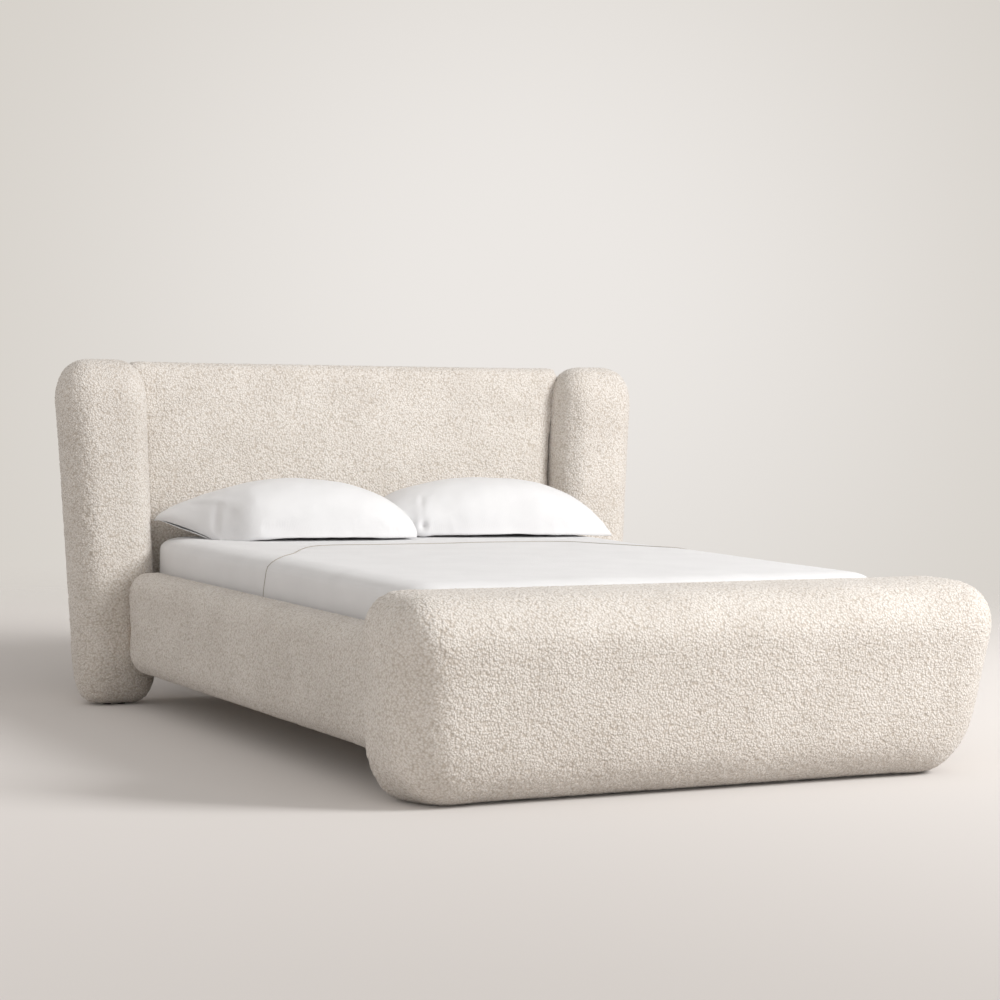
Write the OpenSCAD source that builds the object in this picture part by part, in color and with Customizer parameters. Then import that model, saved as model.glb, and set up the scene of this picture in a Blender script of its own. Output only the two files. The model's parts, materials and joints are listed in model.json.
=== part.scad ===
// Upholstered bed: a leaning padded headboard between two thick wings, a padded footboard that
// flares outwards, two padded side rails, slats on ledges and a centre beam, mattress and bedding.
// X runs across the bed, Y from the foot to the head, Z up. Millimetres.
// The origin is on the floor, under the middle of the whole bed.

/* [Mattress] */
// Width of the mattress
mattress_w = 1524; // [1200:1:1930]
// Length of the mattress
mattress_l = 2030; // [1600:1:2450]
// Thickness of the mattress
mattress_h = 280; // [200:1:360]
// Corner radius of the mattress, seen from above
mattress_corner_r = 90; // [60:1:130]
// Radius along the mattress's top and bottom edges
mattress_edge_r = 35; // [15:1:60]
// How deep the mattress lies below the top of the rails
mattress_sink = 172; // [120:1:220]
// Space left between the mattress and each rail
rail_gap = 13; // [8:1:30]
// Space left between the mattress and the headboard, and the mattress and the footboard
end_gap = 10; // [6:1:40]

/* [Headboard] */
// Height of the headboard
head_h = 1150; // [950:1:1400]
// How far the headboard leans back for each millimetre of height
head_lean = 0.05; // [0.02:0.005:0.08]
// Width of a wing at the floor
wing_w = 280; // [250:1:340]
// Depth of a wing, front to back
wing_d = 215; // [185:1:270]
// How far the wings stand proud of the panel between them
wing_proud = 120; // [90:1:130]
// How far the wings' inner faces stand inside the mattress's side lines, at the floor
wing_tuck = 18; // [0:1:24]
// How far a wing's outer face spreads for each millimetre of height
wing_spread = 0.06; // [0.03:0.005:0.08]
// How far a wing's inner face spreads for each millimetre of height
wing_inner_spread = 0.04; // [0.02:0.005:0.05]
// Radius of a wing's upright edges
wing_edge_r = 92; // [70:1:92]
// Height of the rounding at a wing's top
wing_top_r = 130; // [90:1:150]
// Height of the rounding at a wing's base
wing_base_r = 165; // [100:1:180]
// How far the panel's back lies in front of the wings' backs
panel_back_inset = 8; // [4:1:15]
// Radius along the top edges of the panel
panel_top_r = 38; // [20:1:42]
// Thickness of the padding on the panel's face
panel_foam = 40; // [30:1:45]

/* [Footboard] */
// Height of the footboard
foot_h = 560; // [480:1:680]
// How far the footboard reaches past each rail at its top
foot_reach = 60; // [30:1:100]
// Depth of the footboard at the floor
foot_d = 260; // [220:1:320]
// How far the footboard's front flares for each millimetre of height
foot_flare = 0.19; // [0.1:0.01:0.25]
// How far each end of the footboard spreads for each millimetre of height
foot_spread = 0.04; // [0:0.01:0.08]
// Radius of the footboard's ends, across the bed
foot_end_r = 98; // [70:1:110]
// Radius of the footboard's front, along the bed
foot_front_r = 125; // [80:1:130]
// Radius of the footboard's back edges, along the bed
foot_back_r = 45; // [30:1:60]
// Height of the rounding at the footboard's top
foot_top_r = 114; // [80:1:130]
// Height of the rounding at the footboard's base
foot_base_r = 190; // [120:1:220]
// how far the front bottom corners are rounded in from each end
foot_corner_r = 170; // [100:1:200]
// how far the front bottom edge is rounded up from the floor
foot_corner_h = 235; // [120:1:260]

/* [Side rails] */
// Height of a side rail
rail_h = 340; // [280:1:400]
// Thickness of a side rail over its padding
rail_t = 110; // [90:1:135]
// Height of the rails' undersides above the floor
rail_base = 112; // [90:1:140]
// Radius along a rail's outer edges
rail_edge_r = 50; // [30:1:60]
// Thickness of the board inside a rail
rail_board_t = 22; // [18:1:30]
// Gap between two upholstered pieces that meet
seam_gap = 1.5; // [0.5:0.5:4]

/* [Slats and beam] */
// Number of slats
slat_n = 12; // [8:1:12]
// Width of a slat
slat_w = 90; // [60:1:110]
// Thickness of a slat
slat_t = 18; // [12:1:24]
// Width of the ledge that carries the slats
ledge_w = 30; // [24:1:40]
// Height of the ledge
ledge_h = 40; // [30:1:60]
// Width of the centre beam
beam_w = 60; // [50:1:80]
// Height of the centre beam
beam_h = 80; // [50:1:90]
// Side of a square centre leg
leg_side = 50; // [44:1:58]
// Thickness of the steel of the beam hangers
hanger_t = 3; // [2:0.5:4]

/* [Feet] */
// Height of the glides under the headboard and the footboard
glide_h = 10; // [6:1:15]
// Radius of a glide
glide_r = 14; // [10:1:14]
// Height of a levelling foot's pad
pad_h = 14; // [10:1:20]
// Radius of a levelling foot's pad
pad_r = 17; // [12:1:20]
// Radius of a levelling foot's stud
stud_r = 4; // [3:0.5:6]

/* [Fittings] */
// Height of a hook plate on a rail's end
plate_h = 150; // [120:1:180]
// Thickness of the plates
plate_t = 4; // [3:0.5:5]
// Thickness of a hook
hook_t = 6; // [4:0.5:8]
// Radius of the screws
screw_r = 2.5; // [2:0.25:3]
// Radius of the bolts that hold the wings to the headboard frame
bolt_r = 4; // [3:0.5:5]

/* [Bedding] */
// Depth of a pillow
pillow_d = 465; // [400:1:560]
// Thickness of a pillow
pillow_t = 195; // [140:1:220]
// How far a pillowcase reaches past its pillow at the open end
case_reach = 50; // [30:1:80]
// Space between a pillowcase's open end and the mattress's side line
pillow_inset = 9; // [5:1:40]
// Thickness of the bed linen
linen_t = 1.5; // [1:0.5:2.5]
// Distance from the headboard to the top sheet's piped edge
sheet_turn = 1030; // [800:1:1300]

/* [Hidden] */
fit = 0.1;           // clearance round a screw or bolt
cut = 1;             // how far a cutting shape runs past a face
foam_side = 20;      // padding at the panel's sides
foam_top = 70;       // padding above the headboard's frame
core_w = 120;        // width of a wing's timber core
core_wall = 14;      // padding in front of a timber core
core_foam = 46;      // padding beside a wing's core, at its top
ply_t = 15;          // headboard backing board
cloth_t = 2;         // covers on the underside and the back
timber_w = 60;       // width of the headboard's frame members
stand_off = 0.4;     // space between pieces that part when the bedding is lifted

lean_a = atan(head_lean);
y_wing = mattress_l + 2 * end_gap - wing_proud;   // front of the wings, at the floor
y_panel = y_wing + wing_proud;                    // face of the panel, at the floor
panel_d = wing_d - wing_proud - panel_back_inset;
wing_top_z = head_h - wing_top_r;
foot_top_z = foot_h - foot_top_r;
wing_in0 = mattress_w / 2 - wing_tuck;
wing_out0 = wing_in0 + wing_w;
rail_in = mattress_w / 2 + rail_gap;
rail_out = rail_in + rail_t;
rail_top = rail_base + rail_h;
foot_half0 = rail_out + foot_reach - foot_spread * foot_top_z;
slat_top = rail_top - mattress_sink;
ledge_top = slat_top - slat_t;
mattress_top = slat_top + mattress_h;
y_front = -(foot_d + foot_flare * foot_top_z);
y_back = y_wing + wing_d + head_lean * wing_top_z;
y_mid = (y_front + y_back) / 2;
core_x = wing_in0 + wing_inner_spread * head_h + core_foam;
core_top = wing_top_z - 20;
foot_core_top = foot_h - foot_top_r - 20;
foot_core_z = glide_h + 90;
foot_core_d = 100;
foot_core_half = rail_out;
block_x1 = rail_out - 12;
plate_w = block_x1 - core_x - 3;
plate_x = block_x1 - plate_w / 2;
plate_z = rail_base + rail_h / 2;
panel_base = rail_base;
frame_top = head_h - foam_top;                    // top of the headboard's timber frame
frame_u0 = panel_foam + ply_t;                    // front of the headboard frame, behind the face
frame_u1 = panel_d - cloth_t;
beam_top = ledge_top;
hanger_foot_y = -core_wall;
hanger_head_y = y_panel + panel_foam + head_lean * (beam_top - beam_h - hanger_t);
beam_y1 = hanger_head_y - hanger_t - 1;
beam_y0 = hanger_foot_y + hanger_t + 1;
leg_top = beam_top - beam_h;
hanger_z = beam_top - beam_h / 2;
cross_rail_top = frame_top - timber_w;
cross_rail_z = [hanger_z - timber_w / 2, (hanger_z + cross_rail_top) / 2, cross_rail_top];
bolt_clear = 40;     // from a cross rail to the bolt beside it
bolt_heights = [cross_rail_z[0] + timber_w + bolt_clear, cross_rail_z[1] + timber_w + bolt_clear,
    cross_rail_z[2] - bolt_clear];
linen_out = 2 * linen_t + stand_off / 4;          // both sheets together
pillow_z = mattress_top + linen_out + stand_off;
pillow_y = y_panel + head_lean * pillow_z - pillow_d / 2 - 22;
hem_y = y_panel - sheet_turn;
ledge_len = y_wing - 40;
slat_pitch = (ledge_len - slat_w - 20) / (slat_n - 1);

leg_n = 3;
function leg_y(i) = y_wing * i / (leg_n + 1);
function slat_y(i) = 20 + 20 + slat_w / 2 + slat_pitch * (i - 1);
function wing_in(z) = wing_in0 + wing_inner_spread * z;
function wing_out(z) = wing_out0 + wing_spread * z;
function foot_half(z) = foot_half0 + foot_spread * z;
function foot_front(z) = -(foot_d + foot_flare * z);
function arc(c, r, a0, a1, n = 8) =
    [for (i = [0:n]) let (a = a0 + (a1 - a0) * i / n) c + r * [cos(a), sin(a)]];

slats = [for (i = [1:slat_n]) str("slat_", i)];
legs = [for (i = [1:leg_n]) str("centre_leg_", i)];
studs = [for (i = [1:leg_n]) str("levelling_stud_", i)];
pads = [for (i = [1:leg_n]) str("levelling_pad_", i)];

cream = [0.92, 0.89, 0.83];
timber = [0.79, 0.66, 0.48];
steel = [0.45, 0.46, 0.48];
plastic = [0.12, 0.12, 0.13];
white = [0.96, 0.96, 0.95];

// ---------- shapes used by several pieces ----------

// Everything is laid out from the footboard's back face; this moves it to the bed's own origin.
module place() translate([0, -y_mid, 0]) children();

// Both sides of the bed: the left one is the right one mirrored.
module both_sides() for (s = [0, 1]) mirror([s, 0, 0]) children();

// A round rod, screw shank or drilled hole.
module rod(r, h) cylinder(r = r, h = h, $fn = 24);

// A soft corner: half-axes r = [x, y, z].
module puff(p, r)
    translate(p) scale(r) rotate_extrude($fn = 32)
        polygon(concat([[0, -1]], [for (a = [-75:15:75]) [cos(a), sin(a)]], [[0, 1]]));

// A box between x0..x1 and z0..z1 whose front and back lean with the headboard.
// u0 and u1 are measured back from the wings' front face.
module lean_box(x0, x1, u0, u1, z0, z1) {
    function at(u, z) = [y_wing + u + head_lean * z, z];
    translate([x0, 0, 0]) rotate([90, 0, 90]) linear_extrude(x1 - x0)
        polygon([at(u0, z0), at(u1, z0), at(u1, z1), at(u0, z1)]);
}

// A point on the wings' front plane, for pieces that are turned to lean with it.
module on_wing_face(x, z) translate([x, y_wing + head_lean * z, z]) rotate([-lean_a, 0, 0]) children();

// A rounded mattress shape, grown by g on every face.
module soft_slab(w, l, h, corner_r, edge_r, g = 0) {
    hull() for (sx = [-1, 1], sy = [-1, 1], sz = [0, 1])
        translate([sx * (w / 2 - corner_r), l / 2 + sy * (l / 2 - corner_r), sz ? h - edge_r : edge_r])
            rotate_extrude($fn = 48) {
                square([corner_r - edge_r, edge_r + g]);
                mirror([0, 1]) square([corner_r - edge_r, edge_r + g]);
                translate([corner_r - edge_r, 0])
                    polygon(concat([[0, -edge_r - g]],
                        [for (a = [-90:15:90]) (edge_r + g) * [cos(a), sin(a)]], [[0, edge_r + g]]));
            }
}

// ---------- headboard ----------

// Section of the padded panel, before it leans: y from the wings' front, z from the floor.
panel_back = wing_proud + panel_d;
panel_section = concat(
    [[wing_proud, panel_base]],
    arc([wing_proud + panel_top_r, head_h - panel_top_r], panel_top_r, 180, 90),
    arc([panel_back - panel_top_r, head_h - panel_top_r], panel_top_r, 90, 0),
    [[panel_back, panel_base]]);
function panel_side(z) = wing_in(z) - seam_gap;

// The padded panel: a rounded top edge, open behind and below for its board and frame.
module headboard_panel() color(cream) place() difference() {
    intersection() {
        rotate([90, 0, 90]) translate([0, 0, -wing_out(head_h)]) linear_extrude(2 * wing_out(head_h))
            polygon([for (p = panel_section) [y_wing + p[0] + head_lean * p[1], p[1]]]);
        rotate([90, 0, 0]) translate([0, 0, -2 * y_back]) linear_extrude(2 * y_back)
            polygon([[-panel_side(0), 0], [panel_side(0), 0],
                [panel_side(head_h), head_h], [-panel_side(head_h), head_h]]);
    }
    lean_box(-pocket_half, pocket_half, wing_proud + panel_foam, panel_back + cut,
        panel_base - cut, frame_top);
    both_sides() for (z = bolt_heights) wing_bolt_hole(z);
    hanger_window(y_panel - cut, hanger_head_y + 2 * core_wall);
}
pocket_half = wing_in(panel_base) - seam_gap - foam_side;
stile_out = pocket_half;
bolt_u = wing_proud + (frame_u0 + frame_u1) / 2;
bolt_x0 = stile_out - timber_w - 6;
bolt_x1 = core_x + 45;

module wing_bolt_hole(z)
    translate([bolt_x0, y_wing + bolt_u + head_lean * z, z]) rotate([0, 90, 0])
        rod(bolt_r + fit, bolt_x1 - bolt_x0 + fit);

module headboard_backing_board() color(timber) place() difference() {
    lean_box(-pocket_half, pocket_half, wing_proud + panel_foam, wing_proud + frame_u0,
        panel_base, frame_top);
    hanger_screws_at(hanger_head_y - hanger_t, screw_r + fit);
}

module headboard_stiles() color(timber) place() both_sides() difference() {
    lean_box(stile_out - timber_w, stile_out, wing_proud + frame_u0, wing_proud + frame_u1,
        panel_base, frame_top);
    for (z = bolt_heights) wing_bolt_hole(z);
}

module headboard_cross_rails() color(timber) place() difference() {
    for (z = cross_rail_z)
        lean_box(-(stile_out - timber_w), stile_out - timber_w, wing_proud + frame_u0, wing_proud + frame_u1,
            z, z + timber_w);
    hanger_screws_at(hanger_head_y - hanger_t + fit, screw_r + fit);
}

module headboard_back_cover() color(plastic) place()
    lean_box(-pocket_half, pocket_half, wing_proud + frame_u1, wing_proud + panel_d,
        panel_base, frame_top);

// One wing's outer shape, on the right-hand side.
module wing_shape() {
    r = wing_edge_r;
    hull() for (level = [[wing_top_z, wing_top_r], [glide_h + wing_base_r, wing_base_r]])
        for (x = [wing_in(level[0]) + r, wing_out(level[0]) - r], u = [r, wing_d - r])
            puff([x, y_wing + u + head_lean * level[0], level[0]], [r, r, level[1]]);
}

// The block at the foot of a wing's core, over its glides.
wing_base_z = glide_h + wing_base_r;
foot_block = [wing_in(wing_base_z) + wing_edge_r + 1, wing_out(wing_base_z) - wing_edge_r - 1,
    wing_edge_r + 1, wing_d - wing_edge_r - 1];
foot_block_y = y_wing + head_lean * wing_base_z;
module wing_core_shape(g = 0) {
    base = wing_base_z + 30;
    low = glide_h - (g > 0 ? cut : 0);
    lean_box(core_x - g, core_x + core_w + g, core_wall - g, wing_d - core_wall + g, base, core_top + g);
    translate([foot_block[0] - g, foot_block_y + foot_block[2] - g, low])
        cube([foot_block[1] - foot_block[0] + 2 * g, foot_block[3] - foot_block[2] + 2 * g, base - low]);
}

module wing_solid() difference() {
    wing_shape();
    wing_core_shape(0.01);
    for (z = bolt_heights) wing_bolt_hole(z);
    on_wing_face(plate_x, plate_z) plate_pocket();
}
module wing_right() color(cream) place() wing_solid();
module wing_left() color(cream) place() mirror([1, 0, 0]) wing_solid();

module wing_core() difference() {
    wing_core_shape();
    for (z = bolt_heights) wing_bolt_hole(z);
    on_wing_face(plate_x, plate_z) { receiver_recess(); hook_room(); receiver_screw_holes(); }
    for (x = glide_xs) translate([x, wing_glide_y, 0]) glide_pin_hole();
}
module wing_core_right() color(timber) place() wing_core();
module wing_core_left() color(timber) place() mirror([1, 0, 0]) wing_core();

// Bolts from inside the headboard's stiles, through the padding, into the wing cores.
module wing_bolts() color(steel) place() both_sides() for (z = bolt_heights)
    translate([bolt_x0, y_wing + bolt_u + head_lean * z, z]) rotate([0, 90, 0]) {
        rod(bolt_r, bolt_x1 - bolt_x0);
        translate([0, 0, 0]) cylinder(r = 2 * bolt_r, h = 6, $fn = 6);
    }

// ---------- glides ----------
glide_pin_r = 2;
glide_pin_h = 22;
glide_xs = [foot_block[0] + 24, foot_block[1] - 24];
wing_glide_y = foot_block_y + (foot_block[2] + foot_block[3]) / 2;
module glide() {
    cylinder(r = glide_r, h = glide_h, $fn = 48);
    translate([0, 0, glide_h]) rod(glide_pin_r, glide_pin_h - fit);
}
module glide_pin_hole() translate([0, 0, glide_h - cut]) rod(glide_pin_r + fit, glide_pin_h + cut);
module headboard_glides() color(plastic) place()
    both_sides() for (x = glide_xs) translate([x, wing_glide_y, 0]) glide();

foot_glide_xs = [-(rail_in - 60), 0, rail_in - 60];
foot_glide_y = -(foot_back_r + foot_d - foot_front_r) / 2;
module footboard_glides() color(plastic) place()
    for (x = foot_glide_xs) translate([x, foot_glide_y, 0]) glide();

// ---------- footboard ----------
module footboard_shape() hull() for (s = [-1, 1]) {
    for (level = [[foot_top_z, foot_top_r], [glide_h + foot_base_r, foot_base_r]])
        puff([s * (foot_half(level[0]) - foot_end_r), -foot_back_r, level[0]],
            [foot_end_r, foot_back_r, level[1]]);
    for (level = [[foot_top_z, foot_end_r, foot_top_r],
            [glide_h + foot_corner_h, foot_corner_r, foot_corner_h]])
        puff([s * (foot_half(level[0]) - level[1]), foot_front(level[0]) + foot_front_r, level[0]],
            [level[1], foot_front_r, level[2]]);
}

plinth_d = 64;       // depth of the block between the footboard's core and its glides

// Timber box of the footboard, standing on a plinth over the glides.
module footboard_core_shape(g = 0) {
    translate([-foot_core_half - g, -core_wall - foot_core_d - g, foot_core_z - g])
        cube([2 * (foot_core_half + g), foot_core_d + 2 * g, foot_core_top - foot_core_z + 2 * g]);
    low = glide_h - (g > 0 ? cut : 0);
    translate([-rail_in - g, foot_glide_y - plinth_d / 2 - g, low])
        cube([2 * (rail_in + g), plinth_d + 2 * g, foot_core_z - low]);
}

module footboard() color(cream) place() difference() {
    footboard_shape();
    footboard_core_shape(0.01);
    both_sides() translate([plate_x, 0, plate_z]) mirror([0, 1, 0]) plate_pocket();
    hanger_window(hanger_foot_y, cut);
}

module footboard_core() color(timber) place() difference() {
    footboard_core_shape();
    both_sides() translate([plate_x, 0, plate_z]) mirror([0, 1, 0]) {
        receiver_recess();
        hook_room();
        receiver_screw_holes();
    }
    hanger_screws_at(hanger_foot_y - hanger_screw_l, screw_r + fit);
    for (x = foot_glide_xs) translate([x, foot_glide_y, 0]) glide_pin_hole();
}

module footboard_dust_cover() color(plastic) place() difference() {
    translate([-rail_in, foot_glide_y - plinth_d / 2, glide_h - cloth_t])
        cube([2 * rail_in, plinth_d, cloth_t - 0.01]);
    for (x = foot_glide_xs)
        translate([x, foot_glide_y, 0]) cylinder(r = glide_r + 1, h = glide_h + cut, $fn = 48);
}

// ---------- side rails ----------

// Section of a padded rail: round outer edges, square inner ones.
module rail_section() {
    r = rail_edge_r;
    polygon(concat([[rail_in, rail_base], [rail_out - r, rail_base]],
        arc([rail_out - r, rail_base + r], r, -90, 0),
        arc([rail_out - r, rail_top - r], r, 0, 90),
        [[rail_in, rail_top]]));
}

// Room between the footboard's back and the leaning front of the wings, less a gap at each end.
module rail_reach(gap0, gap1)
    rotate([90, 0, 90]) translate([0, 0, -rail_out - cut]) linear_extrude(2 * (rail_out + cut))
        polygon([[gap0, 0], [y_wing - gap1, 0],
            [y_wing - gap1 + head_lean * head_h, head_h], [gap0, head_h]]);

end_block_l = 90;
board_x1 = rail_in + rail_board_t;
frame_z0 = rail_base + 20;
frame_z1 = rail_top - 25;
block_z0 = plate_z - plate_h / 2 - 18;
block_z1 = plate_z + plate_h / 2 + 18;
module rail_frame_space() {
    intersection() {
        translate([rail_in - cut, 0, frame_z0 - 0.01])
            cube([rail_board_t + cut + 0.01, 2 * y_wing, frame_z1 - frame_z0 + 0.02]);
        rail_reach(-cut, -cut);
    }
    end_blocks(0.01, cut);
}
module end_blocks(g = 0, past = 0) intersection() {
    union() {
        translate([board_x1 - g, 0, block_z0 - g])
            cube([block_x1 - board_x1 + 2 * g, end_block_l + g, block_z1 - block_z0 + 2 * g]);
        translate([board_x1 - g, y_wing - end_block_l - g, block_z0 - g])
            cube([block_x1 - board_x1 + 2 * g, end_block_l + 60, block_z1 - block_z0 + 2 * g]);
    }
    rail_reach(past > 0 ? -past : block_gap + fit / 2, past > 0 ? -past : block_gap + fit / 2);
}
block_gap = plate_t + 2;     // from the wing or the footboard to the rail's end block

module side_rail() difference() {
    intersection() {
        rotate([90, 0, 0]) translate([0, 0, -2 * y_wing]) linear_extrude(2 * y_wing) rail_section();
        rail_reach(seam_gap, seam_gap);
    }
    rail_frame_space();
}
module side_rail_right() color(cream) place() side_rail();
module side_rail_left() color(cream) place() mirror([1, 0, 0]) side_rail();

module rail_board() difference() {
    intersection() {
        translate([rail_in, 0, frame_z0]) cube([rail_board_t, 2 * y_wing, frame_z1 - frame_z0]);
        rail_reach(block_gap + fit / 2, block_gap + fit / 2);
    }
    for (y = ledge_screw_ys) ledge_screw_hole(y);
}
module rail_board_right() color(timber) place() rail_board();
module rail_board_left() color(timber) place() mirror([1, 0, 0]) rail_board();

module rail_end_blocks() color(timber) place() both_sides() difference() {
    end_blocks();
    translate([plate_x, 0, plate_z]) mirror([0, 1, 0]) plate_screw_holes();
    on_wing_face(plate_x, plate_z) plate_screw_holes();
}

// Ledge screwed along the inside of each rail board.
module slat_ledge() difference() {
    translate([rail_in - ledge_w, 20, ledge_top - ledge_h]) cube([ledge_w, ledge_len, ledge_h]);
    for (y = ledge_screw_ys) ledge_screw_hole(y);
}
module slat_ledge_right() color(timber) place() slat_ledge();
module slat_ledge_left() color(timber) place() mirror([1, 0, 0]) slat_ledge();

ledge_screw_n = 6;
ledge_screw_ys = [for (i = [0:ledge_screw_n - 1]) 80 + i * (ledge_len - 120) / (ledge_screw_n - 1)];
ledge_screw_l = ledge_w + rail_board_t - 6;
module ledge_screw_at(y, r, l)
    translate([rail_in - ledge_w, y, ledge_top - ledge_h / 2]) rotate([0, 90, 0]) {
        rod(r, l);
        cylinder(r1 = 2 * r, r2 = r, h = screw_r, $fn = 24);
    }
module ledge_screw_hole(y) ledge_screw_at(y, screw_r + fit, ledge_screw_l + fit);
module ledge_screws() color(steel) place() both_sides()
    for (y = ledge_screw_ys) ledge_screw_at(y, screw_r, ledge_screw_l);

// ---------- hook plates that join rails to wings and footboard ----------
// Drawn with Y = 0 on the wing's face, +Y into the wing, X and Z centred on the plate.
hook_zs = [-42, 28];
hook_l = 22;
screw_zs = [-66, 0, 60];
screw_l = 30;
receiver_w = plate_w;
module plate_pocket() translate([-receiver_w / 2 - 1, -20, -plate_h / 2 - 1])
    cube([receiver_w + 2, 20 + core_wall, plate_h + 2]);
module receiver_recess() translate([-receiver_w / 2 - 0.01, core_wall - cut, -plate_h / 2 - 0.01])
    cube([receiver_w + 0.02, plate_t + cut + 0.01, plate_h + 0.02]);
module hook_room() for (z = hook_zs)
    translate([-hook_t / 2 - 2, core_wall, z - 20]) cube([hook_t + 4, hook_l + 6, 40]);
// One column of screws or screw holes, from y along +Y.
module screw_row(y, r, l) for (z = screw_zs) translate([0, y, z]) rotate([-90, 0, 0]) rod(r, l);
module hook_plate() color(steel) difference() {
    union() {
        translate([-plate_w / 2, -block_gap, -plate_h / 2]) cube([plate_w, plate_t, plate_h]);
        for (z = hook_zs) {
            translate([-hook_t / 2, -block_gap + plate_t, z - 6])
                cube([hook_t, block_gap - plate_t + core_wall + hook_l, 20]);
            translate([-hook_t / 2, core_wall + plate_t + 1, z - 16])
                cube([hook_t, hook_l - plate_t - 1, 12]);
        }
    }
    screw_row(-block_gap - cut, screw_r + fit, plate_t + 2 * cut);
}
module hook_plates() place() both_sides() {
    on_wing_face(plate_x, plate_z) hook_plate();
    translate([plate_x, 0, plate_z]) mirror([0, 1, 0]) hook_plate();
}
module receiver_plate() color(steel) difference() {
    translate([-receiver_w / 2, core_wall, -plate_h / 2]) cube([receiver_w, plate_t, plate_h]);
    for (z = hook_zs)
        translate([-hook_t / 2 - 1, core_wall - cut, z - 17]) cube([hook_t + 2, plate_t + 2 * cut, 34]);
    screw_row(core_wall - cut, screw_r + fit, plate_t + 2 * cut);
}
module receiver_plates() place() both_sides() {
    on_wing_face(plate_x, plate_z) receiver_plate();
    translate([plate_x, 0, plate_z]) mirror([0, 1, 0]) receiver_plate();
}
module plate_screw_holes() screw_row(-block_gap - screw_l - fit, screw_r + fit, screw_l + 2 * fit);
module receiver_screw_holes() screw_row(core_wall, screw_r + fit, plate_t + screw_l + fit);
module plate_screw_set() {
    screw_row(-block_gap - screw_l, screw_r, screw_l + plate_t);
    screw_row(core_wall, screw_r, plate_t + screw_l);
}
module plate_screws() color(steel) place() both_sides() {
    on_wing_face(plate_x, plate_z) plate_screw_set();
    translate([plate_x, 0, plate_z]) mirror([0, 1, 0]) plate_screw_set();
}

// ---------- centre beam, legs and levelling feet ----------
module centre_beam() color(timber) place() difference() {
    translate([-beam_w / 2, beam_y0, beam_top - beam_h]) cube([beam_w, beam_y1 - beam_y0, beam_h]);
    for (i = [1:leg_n])
        translate([0, leg_y(i), leg_top - cut]) rod(bolt_r + fit, leg_bolt_l / 2 + cut + fit);
}
leg_bolt_l = 80;

// A U of steel strip under each end of the beam, screwed to the footboard and to the headboard.
hanger_wing = 26;
hanger_l = 40;
hanger_screw_x = beam_w / 2 + hanger_t + hanger_wing / 2;
module hanger() {
    h = beam_h + hanger_t;
    difference() {
        union() {
            translate([-beam_w / 2 - hanger_t - fit, 0, -hanger_t])
                cube([beam_w + 2 * (hanger_t + fit), hanger_l, h]);
            translate([-beam_w / 2 - hanger_t - hanger_wing, 0, -hanger_t])
                cube([beam_w + 2 * (hanger_t + hanger_wing), hanger_t, h]);
        }
        translate([-beam_w / 2 - fit, hanger_t, 0]) cube([beam_w + 2 * fit, hanger_l, h]);
        for (s = [-1, 1]) translate([s * hanger_screw_x, -cut, beam_h / 2]) rotate([-90, 0, 0])
            rod(screw_r + fit, hanger_t + 2 * cut);
    }
}
hanger_screw_l = 28;
// Opening in the padding, so that a hanger stands on the timber behind it.
module hanger_window(y0, y1) {
    w = beam_w + 2 * (hanger_t + hanger_wing) + 6;
    translate([-w / 2, y0, beam_top - beam_h - hanger_t - 3]) cube([w, y1 - y0, beam_h + hanger_t + 6]);
}
module hanger_screws_at(y, r) for (s = [-1, 1])
    translate([s * hanger_screw_x, y, hanger_z]) rotate([-90, 0, 0])
        rod(r, hanger_screw_l + hanger_t);
module hanger_screws() color(steel) place() {
    hanger_screws_at(hanger_foot_y - hanger_screw_l, screw_r);
    hanger_screws_at(hanger_head_y - hanger_t, screw_r);
}
module beam_hangers() color(steel) place() {
    translate([0, hanger_foot_y, beam_top - beam_h]) hanger();
    translate([0, hanger_head_y, beam_top - beam_h]) mirror([0, 1, 0]) hanger();
}

function leg_height() = leg_top - pad_h - 0.3;
module centre_leg(i) color(timber) place() translate([0, leg_y(i), 0]) difference() {
    translate([-leg_side / 2, -leg_side / 2, pad_h + 0.3]) cube([leg_side, leg_side, leg_height()]);
    translate([0, 0, leg_top - leg_bolt_l / 2 - fit]) rod(bolt_r + fit, leg_bolt_l);
    translate([0, 0, 0]) rod(stud_r + fit, pad_h + stud_l + 2);
}
stud_l = 45;
module leg_bolts() color(steel) place() for (i = [1:leg_n])
    translate([0, leg_y(i), leg_top - leg_bolt_l / 2]) rod(bolt_r, leg_bolt_l);

module levelling_stud(i) color(steel) place() translate([0, leg_y(i), 4]) {
    rod(stud_r, pad_h - 4 + stud_l);
}
module levelling_pad(i) color(plastic) place() translate([0, leg_y(i), 0]) difference() {
    union() {
        cylinder(r = pad_r, h = 6, $fn = 48);
        translate([0, 0, 6]) cylinder(r1 = pad_r, r2 = pad_r - 6, h = pad_h - 6, $fn = 48);
    }
    translate([0, 0, 4 - 0.01]) rod(stud_r + 0.01, pad_h);
}

// ---------- slats ----------
slat_half = rail_in - 2;
holder_w = 45;
holder_t = 2;
module slat(i) color(timber) place()
    translate([-slat_half, slat_y(i) - slat_w / 2, ledge_top]) cube([2 * slat_half, slat_w, slat_t]);

// Plastic holders on the ledges: a saddle over each slat's end.
module slat_holders() color(plastic) place() both_sides() for (i = [1:slat_n])
    translate([rail_in - holder_w - 3, slat_y(i), ledge_top]) difference() {
        translate([0, -slat_w / 2 - holder_t - fit, 0])
            cube([holder_w, slat_w + 2 * (holder_t + fit), slat_t + holder_t]);
        translate([-cut, -slat_w / 2 - fit, -cut])
            cube([holder_w + 2 * cut, slat_w + 2 * fit, slat_t + cut + 0.01]);
    }

// ---------- mattress and bed linen ----------
mattress_z = slat_top + holder_t + stand_off;
module mattress_at(g = 0)
    translate([0, end_gap, mattress_z])
        soft_slab(mattress_w, mattress_l, mattress_top - mattress_z, mattress_corner_r, mattress_edge_r, g);

module mattress() color(white) place() mattress_at();

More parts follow.
